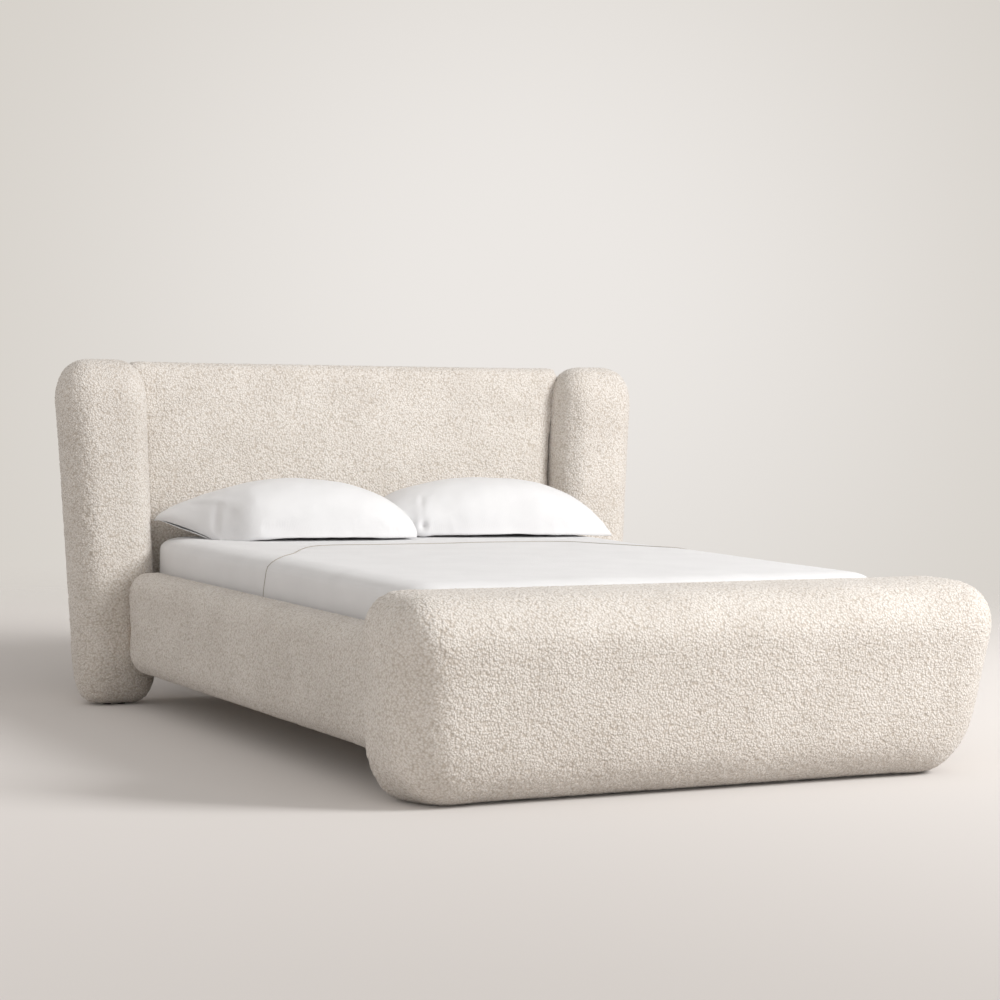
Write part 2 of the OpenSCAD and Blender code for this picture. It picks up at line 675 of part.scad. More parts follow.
// A thin skin round the mattress, open below.
module linen_skin(g0, g1, y1) difference() {
    mattress_at(g1);
    mattress_at(g0);
    translate([-mattress_w, -mattress_l, mattress_z - mattress_edge_r])
        cube([2 * mattress_w, 4 * mattress_l, 2 * mattress_edge_r + 10]);
    translate([-mattress_w, y1, 0]) cube([2 * mattress_w, 2 * mattress_l, 2 * mattress_top]);
}
module fitted_sheet() color(white) place() linen_skin(0, linen_t, 2 * mattress_l);
module top_sheet() color(white) place() {
    linen_skin(linen_t + 0.05, 2 * linen_t + 0.05, hem_y);
}

// ---------- pillows ----------
seam_r = 14;         // radius of a pillow's corner
// A filled pillow, thick in the middle and thin at its seams; g grows it.
module pillow_shape(l, d, t, g = 0) hull() {
    translate([0, 0, t / 2]) scale([l * 0.40 + g, d * 0.40 + g, t / 2 + g]) rotate_extrude($fn = 32)
        polygon(concat([[0, -1]], [for (a = [-75:15:75]) [pow(cos(a), 0.5), sin(a)]], [[0, 1]]));
    for (sx = [-1, 1], sy = [-1, 1])
        translate([sx * (l / 2 - seam_r), sy * (d / 2 - seam_r), t * 0.42]) sphere(r = seam_r + g, $fn = 16);
}
pillow_gap = 3;
case_t = linen_t;
pillow_l = mattress_w / 2 - pillow_gap / 2 - case_t - case_reach - pillow_inset;
pillow_x = pillow_gap / 2 + case_t + pillow_l / 2;
module right_pillow_place() place() translate([pillow_x, pillow_y, pillow_z + case_t]) children();
module pillowcase_shape() difference() {
    union() {
        pillow_shape(pillow_l, pillow_d, pillow_t, case_t);
        case_mouth(case_t);
    }
    pillow_shape(pillow_l, pillow_d, pillow_t);
    case_mouth(0);
}
// The empty end of the case past the pillow, open at the outer side.
module case_mouth(g) hull() {
    translate([pillow_l * 0.30, -pillow_d * 0.42 - g, pillow_t * 0.20 - g])
        cube([1, 2 * (pillow_d * 0.42 + g), pillow_t * 0.5 + 2 * g]);
    translate([pillow_l / 2 + case_reach - (g > 0 ? 1 : 0), -pillow_d * 0.45 - g, pillow_t * 0.30 - g])
        cube([1, 2 * (pillow_d * 0.45 + g), pillow_t * 0.24 + 2 * g]);
}
module pillow_right() color(white) right_pillow_place() pillow_shape(pillow_l, pillow_d, pillow_t);
module pillowcase_right() color(white) right_pillow_place() pillowcase_shape();
module pillow_left() color(white) mirror([1, 0, 0]) right_pillow_place()
    pillow_shape(pillow_l, pillow_d, pillow_t);
module pillowcase_left() color(white) mirror([1, 0, 0]) right_pillow_place() pillowcase_shape();

headboard_panel();
headboard_backing_board();
headboard_stiles();
headboard_cross_rails();
headboard_back_cover();
wing_left();
wing_right();
wing_core_left();
wing_core_right();
wing_bolts();
headboard_glides();
footboard();
footboard_core();
footboard_dust_cover();
footboard_glides();
side_rail_left();
side_rail_right();
rail_board_left();
rail_board_right();
rail_end_blocks();
slat_ledge_left();
slat_ledge_right();
ledge_screws();
hook_plates();
receiver_plates();
plate_screws();
centre_beam();
beam_hangers();
hanger_screws();
leg_bolts();
slat_holders();
mattress();
fitted_sheet();
top_sheet();
pillow_left();
pillowcase_left();
pillow_right();
pillowcase_right();
for (i = [1:leg_n]) centre_leg(i);
for (i = [1:leg_n]) levelling_stud(i);
for (i = [1:leg_n]) levelling_pad(i);
for (i = [1:slat_n]) slat(i);
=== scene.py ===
# %% [markdown]
# # A wing-headed bed covered in bouclé
#
# The bed has a padded headboard between two fat wings, two padded side rails and a thick, rounded
# footboard, all in one looped wool cloth. On it lie a mattress, a fitted sheet, a top sheet with
# a piped hem and two pillows in cotton cases. Under it there are slats, a centre beam and feet.
#
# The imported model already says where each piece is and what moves. This lesson only gives the
# pieces their looks, so it begins by loading that model as a fixed frame. The first cell also
# clears the cube, lamp and camera that Blender starts with.

# %% Load the frame
import json
import math

import bmesh
import bpy
import numpy as np
from mathutils import Matrix, Vector

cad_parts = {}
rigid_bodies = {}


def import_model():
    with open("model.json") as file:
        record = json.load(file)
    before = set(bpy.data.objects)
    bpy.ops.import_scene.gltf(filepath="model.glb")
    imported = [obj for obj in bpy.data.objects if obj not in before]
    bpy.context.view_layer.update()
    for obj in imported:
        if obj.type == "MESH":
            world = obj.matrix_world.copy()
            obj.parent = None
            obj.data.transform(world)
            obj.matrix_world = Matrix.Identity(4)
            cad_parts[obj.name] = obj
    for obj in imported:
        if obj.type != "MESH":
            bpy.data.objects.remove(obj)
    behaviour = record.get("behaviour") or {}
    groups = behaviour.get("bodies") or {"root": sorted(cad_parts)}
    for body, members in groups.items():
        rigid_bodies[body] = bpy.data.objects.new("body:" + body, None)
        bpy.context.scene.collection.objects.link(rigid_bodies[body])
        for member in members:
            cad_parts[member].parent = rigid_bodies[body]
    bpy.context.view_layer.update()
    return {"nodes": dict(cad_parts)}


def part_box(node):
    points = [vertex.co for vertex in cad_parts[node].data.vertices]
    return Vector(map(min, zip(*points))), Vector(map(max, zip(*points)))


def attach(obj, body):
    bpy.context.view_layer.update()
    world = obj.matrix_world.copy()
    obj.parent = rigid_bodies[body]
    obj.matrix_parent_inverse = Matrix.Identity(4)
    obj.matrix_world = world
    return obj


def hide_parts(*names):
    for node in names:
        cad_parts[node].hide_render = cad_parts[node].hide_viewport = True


for start_up in list(bpy.data.objects):
    bpy.data.objects.remove(start_up)
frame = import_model()
nodes = frame["nodes"]

# %% [markdown]
# ## Camera, floor and light
#
# The bed is seen from beyond its left foot corner, a little above the mattress, through a long
# lens from nearly nine metres, so its lines hardly converge. A long lens keeps the proportions
# of furniture honest, which is why catalogues use one.
#
# The camera is placed by its heading, its tip towards the floor and its roll, in radians.

# %% The camera
heading, tip, roll = 0.4809, 0.0520, 0.0173
forward = Vector((math.sin(heading) * math.cos(tip), math.cos(heading) * math.cos(tip), -math.sin(tip)))
level = Vector((math.cos(heading), -math.sin(heading), 0))
above = level.cross(forward)
right = math.cos(roll) * level + math.sin(roll) * above
up = -math.sin(roll) * level + math.cos(roll) * above
lens_data = bpy.data.cameras.new("long_lens")
lens_data.lens, lens_data.sensor_width, lens_data.clip_end = 93.1, 36, 200
camera = bpy.data.objects.new("camera", lens_data)
camera.matrix_world = (
    Matrix.Translation((-3.7404, -7.1054, 1.1524))
    @ Matrix((right, up, -forward)).transposed().to_4x4()
)
bpy.context.scene.collection.objects.link(camera)
bpy.context.scene.camera = camera
bpy.context.scene.view_settings.view_transform = "Standard"
print("camera looks along", [round(v, 3) for v in forward])

# %% [markdown]
# Every finish below is a small network of shader nodes. One helper adds a node, sets what is
# plain and links what comes from another node. Colours are written as they look on a screen, in
# hex, and turned to the linear light that a renderer adds up.

# %% Two helpers for finishes
def linear(hex_colour, alpha=1.0):
    """A screen colour such as #d8d0c4 as linear light."""
    steps = [int(hex_colour[i:i + 2], 16) / 255 for i in (1, 3, 5)]
    return tuple(c / 12.92 if c <= 0.04045 else ((c + 0.055) / 1.055) ** 2.4 for c in steps) + (alpha,)


def add(tree, kind, inputs=None, **settings):
    """Adds a shader node. An input that is another node's socket is linked; anything else is set."""
    made = tree.nodes.new(kind)
    for name, value in settings.items():
        setattr(made, name, value)
    for name, value in (inputs or {}).items():
        if isinstance(value, bpy.types.NodeSocket):
            tree.links.new(value, made.inputs[name])
        else:
            made.inputs[name].default_value = value
    return made


def new_finish(name):
    """An empty material with its output node, and the tree to build in."""
    material = bpy.data.materials.new(name)
    material.use_nodes = True
    material.node_tree.nodes.clear()
    return material, material.node_tree


# %% [markdown]
# The floor is one plain pale sheet. Near the bed it takes light and shadow like painted board.
# Further out it fades away, so no horizon line cuts behind the headboard: one pale room tone
# shows above and below. The fade follows the distance from the bed's middle.
#
# A studio wall is lit most in its middle. So the room tone is brightest behind the headboard's
# right half and falls off gently to both sides. As a lamp the room gives less than it shows,
# which is how a big soft box wins over it and leaves real shadows.

# %% Floor and room tone
floor_mesh = bpy.data.meshes.new("floor")
reach = 60
floor_mesh.from_pydata(
    [(-reach, -reach, 0), (reach, -reach, 0), (reach, reach, 0), (-reach, reach, 0)], [], [(0, 1, 2, 3)]
)
floor = bpy.data.objects.new("floor", floor_mesh)
bpy.context.scene.collection.objects.link(floor)
painted, tree = new_finish("matt_painted_floor")
place = add(tree, "ShaderNodeTexCoord").outputs["Object"]
far = add(tree, "ShaderNodeVectorMath", {0: place}, operation="LENGTH").outputs["Value"]
fade = add(tree, "ShaderNodeMapRange", {"Value": far, "From Min": 2.6, "From Max": 7.0},
           interpolation_type="SMOOTHSTEP").outputs["Result"]
board = add(tree, "ShaderNodeBsdfDiffuse", {"Color": linear("#dfdbd8"), "Roughness": 1.0})
gone = add(tree, "ShaderNodeBsdfTransparent")
both = add(tree, "ShaderNodeMixShader", {0: fade, 1: board.outputs[0], 2: gone.outputs[0]})
add(tree, "ShaderNodeOutputMaterial", {"Surface": both.outputs[0]})
floor_mesh.materials.append(painted)

world = bpy.data.worlds.new("room")
bpy.context.scene.world = world
world.use_nodes = True
world.node_tree.nodes.clear()
tree = world.node_tree
outward = add(tree, "ShaderNodeTexCoord").outputs["Generated"]
middle = (0.4695, 0.8790, 0.0300)
from_middle = add(tree, "ShaderNodeVectorMath", {0: outward, 1: middle}, operation="DISTANCE")
wall = add(tree, "ShaderNodeValToRGB", {0: from_middle.outputs["Value"]})
wall.color_ramp.interpolation = "EASE"
wall.color_ramp.elements[0].position, wall.color_ramp.elements[0].color = 0.02, linear("#ece8e4")
wall.color_ramp.elements[1].position, wall.color_ramp.elements[1].color = 0.26, linear("#d6d1ca")
seen = add(tree, "ShaderNodeBackground", {"Color": wall.outputs[0], "Strength": 1.0})
fill_light = add(tree, "ShaderNodeBackground", {"Color": linear("#ece8e4"), "Strength": 0.74})
path = add(tree, "ShaderNodeLightPath")
room = add(tree, "ShaderNodeMixShader", {0: path.outputs["Is Camera Ray"], 1: fill_light.outputs[0],
                                         2: seen.outputs[0]})
add(tree, "ShaderNodeOutputWorld", {"Surface": room.outputs[0]})
print("room fill strength", fill_light.inputs["Strength"].default_value)

# %% [markdown]
# The light is a wide soft box high on the right, in front of the bed. It brightens the faces
# that look forward and right and lets the left faces fall a step darker. The room's own pale
# tone fills the rest, so shadows stay soft.

# %% Soft boxes
def soft_box(name, place, towards, size, watts):
    data = bpy.data.lights.new(name, "AREA")
    data.shape, data.size, data.energy = "SQUARE", size, watts
    lamp = bpy.data.objects.new(name, data)
    lamp.location = place
    lamp.rotation_euler = (Vector(towards) - Vector(place)).to_track_quat("-Z", "Y").to_euler()
    bpy.context.scene.collection.objects.link(lamp)


soft_box("key_light", (4.7, -5.3, 4.3), (0, 0.1, 0.4), 2.4, 515)

# %% [markdown]
# ## Shaping helpers
#
# All the padding is made the same way the workshop makes it: a foam shape, a cover pulled over
# it, and the cover's own surface on top. The helpers turn points and faces into objects, read a
# piece's points back, and push points along their normals.

# %% Mesh helpers
def put(name, points, faces, smooth=True):
    """A new object in the row frame from points and faces."""
    mesh = bpy.data.meshes.new(name)
    mesh.from_pydata([tuple(p) for p in points], [], [tuple(f) for f in faces])
    mesh.validate()
    if smooth:
        mesh.polygons.foreach_set("use_smooth", [True] * len(mesh.polygons))
    piece = bpy.data.objects.new(name, mesh)
    bpy.context.scene.collection.objects.link(piece)
    return piece


def points_of(piece):
    flat = np.zeros(len(piece.data.vertices) * 3, np.float32)
    piece.data.vertices.foreach_get("co", flat)
    return flat.reshape(-1, 3).astype(float)


def normals_of(piece):
    flat = np.zeros(len(piece.data.vertices) * 3, np.float32)
    piece.data.vertex_normals.foreach_get("vector", flat)
    return flat.reshape(-1, 3).astype(float)


def move_points(piece, points):
    piece.data.vertices.foreach_set("co", np.asarray(points, np.float32).ravel())
    piece.data.update()


def bake_modifiers(piece):
    """Replaces the piece's mesh by what its modifiers make of it."""
    shown = piece.evaluated_get(bpy.context.evaluated_depsgraph_get())
    mesh = bpy.data.meshes.new_from_object(shown)
    piece.modifiers.clear()
    piece.data = mesh
    mesh.polygons.foreach_set("use_smooth", [True] * len(mesh.polygons))


def outer_form(name, node):
    """The closed outer form of a padded CAD node, without the hollow for its timber."""
    built = bmesh.new()
    for p in nodes[node].data.vertices:
        built.verts.new(p.co)
    made = bmesh.ops.convex_hull(built, input=built.verts)
    spare = [v for v in made["geom_interior"] if isinstance(v, bmesh.types.BMVert)]
    bmesh.ops.delete(built, geom=spare, context="VERTS")
    mesh = bpy.data.meshes.new(name)
    built.to_mesh(mesh)
    built.free()
    piece = bpy.data.objects.new(name, mesh)
    bpy.context.scene.collection.objects.link(piece)
    return piece


def even_grid(piece, size):
    """Rebuilds the surface from even squares of that size."""
    remesh = piece.modifiers.new("even_grid", "REMESH")
    remesh.mode, remesh.voxel_size, remesh.use_smooth_shade = "VOXEL", size, True
    bake_modifiers(piece)


def relax(piece, times, strength=0.5):
    """Evens out the little steps that the grid leaves."""
    smooth = piece.modifiers.new("relax", "SMOOTH")
    smooth.factor, smooth.iterations = strength, times
    bake_modifiers(piece)


# %% [markdown]
# Foam under a tight cover is never dead flat. The cover is made as cloth here: it is blown up
# gently for twenty frames, and each point may move only a little, so flat faces crown and edges
# stay where the timber holds them. Gravity is off, because the foam carries the cloth.

# %% Cloth over foam
def swell(piece, pressure, cap, frames=20):
    """Blows the piece up as cloth; no point moves further than about cap metres."""
    cloth = piece.modifiers.new("cover", "CLOTH")
    settings = cloth.settings
    settings.quality = 4
    settings.use_pressure, settings.uniform_pressure_force = True, pressure
    settings.effector_weights.gravity = 0
    cloth.collision_settings.use_collision = False
    cloth.collision_settings.use_self_collision = False
    cloth.point_cache.frame_end = frames
    before = points_of(piece)
    for step in range(1, frames + 1):
        bpy.context.scene.frame_set(step)
    shown = piece.evaluated_get(bpy.context.evaluated_depsgraph_get())
    after = np.zeros(len(before) * 3, np.float32)
    shown.data.vertices.foreach_get("co", after)
    piece.modifiers.clear()
    bpy.context.scene.frame_set(1)
    went = after.reshape(-1, 3) - before
    far = np.linalg.norm(went, axis=1, keepdims=True)
    move_points(piece, before + went * np.tanh(far / cap) * cap / np.maximum(far, 1e-9))
    print(piece.name, "cover rose up to", round(float(far.max()) * 1000, 1), "mm, kept under", cap * 1000)


# %% [markdown]
# Bouclé yarn is looped, so the cloth is covered in round nubs about a centimetre across. They
# show on every outline, so they are real relief, not only shading. Each nub is one cell of a
# jittered grid: a dome around a random point. The grid's cells are hashed from their numbers,
# so the same cloth comes out on each run.

# %% Nubs
nub_width = 0.0105


def cell_noise(points, width, seed=0):
    """Distance to the nearest of one jittered point in each cube of that width, over the width."""
    cell = np.floor(points / width).astype(np.int64)
    inside = points / width - cell
    nearest = np.full(len(points), 9.0)
    for dx in (-1, 0, 1):
        for dy in (-1, 0, 1):
            for dz in (-1, 0, 1):
                at = cell + (dx, dy, dz)
                mixed = (at[:, 0] * 73856093) ^ (at[:, 1] * 19349663) ^ (at[:, 2] * 83492791) ^ seed
                gap = np.zeros(len(points))
                for axis, prime in enumerate((2654435761, 2246822519, 3266489917)):
                    spot = ((mixed * prime) % 4294967291 % 10007) / 10007
                    gap += (spot + (dx, dy, dz)[axis] - inside[:, axis]) ** 2
                nearest = np.minimum(nearest, gap)
    return np.sqrt(nearest)


def add_nubs(piece, height):
    """Raises the looped surface on a padded piece."""
    points = points_of(piece)
    domes = 1 - np.clip(cell_noise(points, nub_width) / 0.85, 0, 1) ** 2
    swells = 1 - np.clip(cell_noise(points, nub_width * 2.6, seed=77) / 1.0, 0, 1)
    rise = height * (domes - 0.55) + 0.35 * height * (swells - 0.5)
    move_points(piece, points + normals_of(piece) * rise[:, None])


# %% [markdown]
# ## The bouclé
#
# Wool and cotton bouclé: a cream yarn with loops thrown up all over. To the eye it gives bright
# loop tops, small warm shadows between them, and a soft pale rim where the fibres catch the
# light. The nub pattern follows the nubs' width in millimetres. The single yarns are about a
# millimetre, too fine to show from nine metres, so they are drawn at three.

# %% Bouclé material
boucle, tree = new_finish("wool_boucle_looped")
where = add(tree, "ShaderNodeTexCoord").outputs["Object"]
wander = add(tree, "ShaderNodeTexNoise", {"Vector": where, "Scale": 1 / 0.012, "Detail": 2.0})
bent = add(tree, "ShaderNodeMix", {0: 0.006, 4: where, 5: wander.outputs["Color"]}, data_type="VECTOR")
curls = add(tree, "ShaderNodeTexVoronoi",
            {"Vector": bent.outputs[1], "Scale": 1 / (0.62 * nub_width), "Smoothness": 0.15},
            feature="SMOOTH_F1")
yarn = add(tree, "ShaderNodeTexNoise", {"Vector": where, "Scale": 1 / 0.0032, "Detail": 3.0,
                                        "Roughness": 0.6})
patch = add(tree, "ShaderNodeTexNoise", {"Vector": where, "Scale": 1 / 0.16, "Detail": 3.0})
# Painted shade: the colour is lighter on the loop tops and darker in the pits between loops, where shade
# falls, on top of the real relief.
pit_painted_shade = add(tree, "ShaderNodeValToRGB", {0: curls.outputs["Distance"]})
pit_painted_shade.color_ramp.elements[0].position, pit_painted_shade.color_ramp.elements[0].color = 0.22, linear("#f6f2ee")
pit_painted_shade.color_ramp.elements[1].position, pit_painted_shade.color_ramp.elements[1].color = 0.88, linear("#cfc6bc")
tint = add(tree, "ShaderNodeValToRGB", {0: patch.outputs[0]})
tint.color_ramp.elements[0].position, tint.color_ramp.elements[0].color = 0.3, linear("#f4f2ef")
tint.color_ramp.elements[1].position, tint.color_ramp.elements[1].color = 0.7, linear("#fffefc")
colour = add(tree, "ShaderNodeMix", {0: 1.0, 6: pit_painted_shade.outputs[0], 7: tint.outputs[0]},
             data_type="RGBA", blend_type="MULTIPLY")
relief = add(tree, "ShaderNodeMath", {0: curls.outputs["Distance"], 1: -1.0}, operation="MULTIPLY")
threads = add(tree, "ShaderNodeMath", {0: yarn.outputs[0], 1: 0.55, 2: relief.outputs[0]},
              operation="MULTIPLY_ADD")
raised = add(tree, "ShaderNodeBump", {"Height": threads.outputs[0], "Distance": 0.0034, "Strength": 1.0})
wool = add(tree, "ShaderNodeBsdfPrincipled", {
    "Base Color": colour.outputs[2], "Roughness": 0.95, "Normal": raised.outputs[0],
    "Sheen Weight": 0.35, "Sheen Roughness": 0.5, "Specular IOR Level": 0.15,
})
add(tree, "ShaderNodeOutputMaterial", {"Surface": wool.outputs[0]})

# %% [markdown]
# ## Upholstery
#
# Each padded part starts as the outer form of its CAD solid. Even squares of thirteen millimetres
# let the cloth swell, and one subdivision halves them, which is as fine as the nubs need. Easing
# takes the facets away but shrinks the form a little, so the cover is pushed back out by the
# fifth of a millimetre that each pass costs.

# %% Upholster
cover_square, lost_per_pass = 0.0132, 0.0002


def upholster(name, node, body, crown, shape=None, recess=None, rounding=6, nub_height=0.0034):
    piece = outer_form(name, node)
    even_grid(piece, cover_square)
    relax(piece, rounding)
    move_points(piece, points_of(piece) + normals_of(piece) * lost_per_pass * rounding)
    if shape:
        move_points(piece, shape(points_of(piece)))
    swell(piece, 4.0, crown)
    finer = piece.modifiers.new("finer", "SUBSURF")
    finer.levels = finer.render_levels = 1
    bake_modifiers(piece)
    add_nubs(piece, nub_height)
    if recess:
        move_points(piece, recess(points_of(piece)))
    piece.data.materials.clear()
    piece.data.materials.append(boucle)
    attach(piece, body)
    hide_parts(node)
    print(name, len(piece.data.polygons), "faces")
    return piece


# %% [markdown]
# A side rail is a long cushion of its own: its ends are rounded where they meet the wing and
# the footboard. The CAD rail is cut square there, so the ends are drawn in along a quarter
# circle, up and down and on the outer side.

# %% Rail ends
head_lean, end_setback = 0.05, 0.017


def rounded_ends(node, radius):
    """Gives back a function that draws in both ends of a side rail."""
    low, high = (np.array(v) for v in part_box(node))
    outside = low[0] if low[0] < 0 else high[0]
    inside = high[0] if low[0] < 0 else low[0]

    def shape(points):
        points = points.copy()
        lean = head_lean * (points[:, 2] - low[2])
        head_end = high[1] - end_setback + lean
        to_end = np.minimum(points[:, 1] - low[1], head_end - points[:, 1])
        into = np.clip(1 - to_end / radius, 0, 1)
        drawn = radius * (1 - np.sqrt(1 - into ** 2))
        middle, half = (low[2] + high[2]) / 2, (high[2] - low[2]) / 2
        share = (points[:, 0] - inside) / (outside - inside)
        drawn = drawn * np.clip(0.15 + share, 0, 1)
        points[:, 2] = middle + (points[:, 2] - middle) * (1 - drawn / half)
        points[:, 0] -= np.sign(outside) * share * drawn * 0.2
        return points
    return shape


# %% [markdown]
# The padding isn't a closed bag. On the headboard's back it only turns round the edge, and the
# frame lies bare under its lining. On a rail's inner side the board is bare too, because the
# ledge for the slats is screwed to it. So the cover is pressed in there, as deep as the timber.
#
# The loops hang over the glides under the wings and the footboard, and a wing's foot is filled
# out so that it looks blunt and heavy. Towards its top the panel runs on a little way behind the
# wings' rounded corners, so no gap opens between them.

# %% Bare backs
def bare_back(points):
    """Presses the cover forward to the board inside the lining's outline, then lengthens its ends."""
    low, high = (np.array(v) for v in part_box("headboard_back_cover"))
    board = np.array(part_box("headboard_backing_board")[0])
    front = board[1] + head_lean * (points[:, 2] - board[2])
    inside = (np.abs(points[:, 0]) < high[0]) & (points[:, 2] < high[2]) & (points[:, 1] > front)
    points[inside, 1] = front[inside] - 0.001
    longer, longer_at_top = 0.014, 0.024
    near_end = np.clip((np.abs(points[:, 0]) - 0.735) / 0.045, 0, 1)
    near_top = np.clip((points[:, 2] - 0.93) / 0.17, 0, 1)
    points[:, 0] += np.sign(points[:, 0]) * (longer + longer_at_top * near_top) * near_end
    return points


def brushing_floor(points):
    """The loops under a wing or the footboard hang to the floor and hide the glides."""
    low, high = (np.array(v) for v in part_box("footboard_dust_cover"))
    middle_y = (low[1] + high[1]) / 2
    on_lining = (np.abs(points[:, 0]) < high[0] + 0.01) & (np.abs(points[:, 1] - middle_y) < 0.045)
    points[:, 2] -= 0.007 * np.clip((0.06 - points[:, 2]) / 0.05, 0, 1) * ~on_lining
    points[:, 2] = np.maximum(points[:, 2], 0.001)
    return points


def full_base(points):
    """Fills a wing's foot out sideways, so its base is blunter, then lets its loops hang."""
    foot_height, most = 0.165, 0.30
    fuller = 1 + most * np.clip(1 - points[:, 2] / foot_height, 0, 1) ** 3
    foot = points[:, 2] < foot_height
    middle = (points[foot, :2].min(0) + points[foot, :2].max(0)) / 2
    points[:, :2] = middle + (points[:, :2] - middle) * fuller[:, None]
    return brushing_floor(points)


def bare_board(node):
    """Gives back a function that presses a rail's cover out to its board's outer face."""
    low, high = (np.array(v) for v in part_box(node))
    side = np.sign(low[0])
    outer_face = max(abs(low[0]), abs(high[0])) + 0.001

    def recess(points):
        inside = (points[:, 0] * side < outer_face) & (points[:, 2] > low[2]) & (points[:, 2] < high[2])
        points[inside, 0] = side * outer_face
        return points
    return recess


upholster("headboard_padding", "headboard_panel", "bed_frame", 0.008, recess=bare_back)
for side in ("left", "right"):
    upholster(f"wing_padding_{side}", f"wing_{side}", "bed_frame", 0.005, recess=full_base,
              rounding=12)
    upholster(f"rail_padding_{side}", f"side_rail_{side}", "bed_frame", 0.006,
              rounded_ends(f"side_rail_{side}", 0.06), bare_board(f"rail_board_{side}"))
upholster("footboard_padding", "footboard", "bed_frame", 0.006, recess=brushing_floor, rounding=26)

# %% [markdown]
# ## Bedding
#
# Cloth that lies on a mattress is smooth over wide areas and has slow, shallow waves where it
# was pulled. A soft random field gives those waves. Every layer reads the same field, so the
# sheets rise and fall together and never cut through each other.

# %% Slow waves
def soft_noise(points, size, seed):
    """Smooth random field from -1 to 1; neighbouring values are size metres apart."""
    grid = points / size
    cell = np.floor(grid).astype(np.int64)
    part = grid - cell
    ease = part * part * (3 - 2 * part)
    total = np.zeros(len(points))
    for dx in (0, 1):
        for dy in (0, 1):
            for dz in (0, 1):
                at = cell + (dx, dy, dz)
                mixed = (at[:, 0] * 73856093) ^ (at[:, 1] * 19349663) ^ (at[:, 2] * 83492791) ^ seed
                value = ((mixed * 2654435761) % 4294967291 % 20011) / 10005.5 - 1
                share = np.ones(len(points))
                for axis, side in enumerate((dx, dy, dz)):
                    share *= ease[:, axis] if side else 1 - ease[:, axis]
                total += value * share
    return total


def bedding_waves(points):
    """How far the bed linen stands off the mattress, in metres: long waves from head to foot.
    The pillows press it flat at the head."""
    stretched = points * (1.0, 0.42, 1.0)
    free = np.clip((0.62 - points[:, 1]) / 0.10, 0, 1)
    return free * (0.0016 * soft_noise(stretched, 0.17, 5) + 0.0008 * soft_noise(stretched, 0.06, 6))


# %% [markdown]
# A mattress and its sheets share one form: a slab with soft edges. It is built from an even grid
# on each side of a box, and each point near an edge is swung onto a rounded profile. A side that
# isn't wanted is left out, which is how a sheet stays open where its hem is.

# %% A slab with soft edges
def soft_block(name, low, high, radii, step, leave_out=(), square_sides=()):
    """radii are the roundings along x, y and z. Sides are named by (axis, 0 or 1)."""
    low, high, radii = (np.array(v, float) for v in (low, high, radii))
    counts = [max(2, math.ceil(d)) for d in (high - low) / step]
    points, faces = [], []
    for axis in range(3):
        a, b = [i for i in range(3) if i != axis]
        for side in (0, 1):
            if (axis, side) in leave_out:
                continue
            start = len(points)
            for i in range(counts[a] + 1):
                for j in range(counts[b] + 1):
                    p = [0, 0, 0]
                    p[axis] = (low, high)[side][axis]
                    p[a] = low[a] + (high[a] - low[a]) * i / counts[a]
                    p[b] = low[b] + (high[b] - low[b]) * j / counts[b]
                    points.append(p)
            wide = counts[b] + 1
            for i in range(counts[a]):
                for j in range(counts[b]):
                    q = start + i * wide + j
                    ring = (q, q + wide, q + wide + 1, q + 1)
                    faces.append(ring if (side == 1) != (axis == 1) else ring[::-1])
    points = np.array(points)
    inner_low, inner_high = low + radii, high - radii
    for axis, side in square_sides:
        (inner_low, inner_high)[side][axis] = (low, high)[side][axis]
    core = np.clip(points, inner_low, inner_high)
    swing = (points - core) / radii
    length = np.maximum(np.linalg.norm(swing, axis=1, keepdims=True), 1e-9)
    points = core + radii * swing / length * (length > 1e-6)
    piece = put(name, points, faces)
    built = bmesh.new()
    built.from_mesh(piece.data)
    bmesh.ops.remove_doubles(built, verts=built.verts, dist=1e-5)
    built.to_mesh(piece.data)
    built.free()
    return piece


def drop_faces(piece, unwanted):
    """Deletes the faces whose middle makes unwanted(x, y, z) true."""
    built = bmesh.new()
    built.from_mesh(piece.data)
    gone = [f for f in built.faces if unwanted(*f.calc_center_median())]
    bmesh.ops.delete(built, geom=gone, context="FACES")
    built.to_mesh(piece.data)
    built.free()


def thicken(piece, thickness, offset=1):
    solid = piece.modifiers.new("thickness", "SOLIDIFY")
    solid.thickness, solid.offset = thickness, offset
    bake_modifiers(piece)
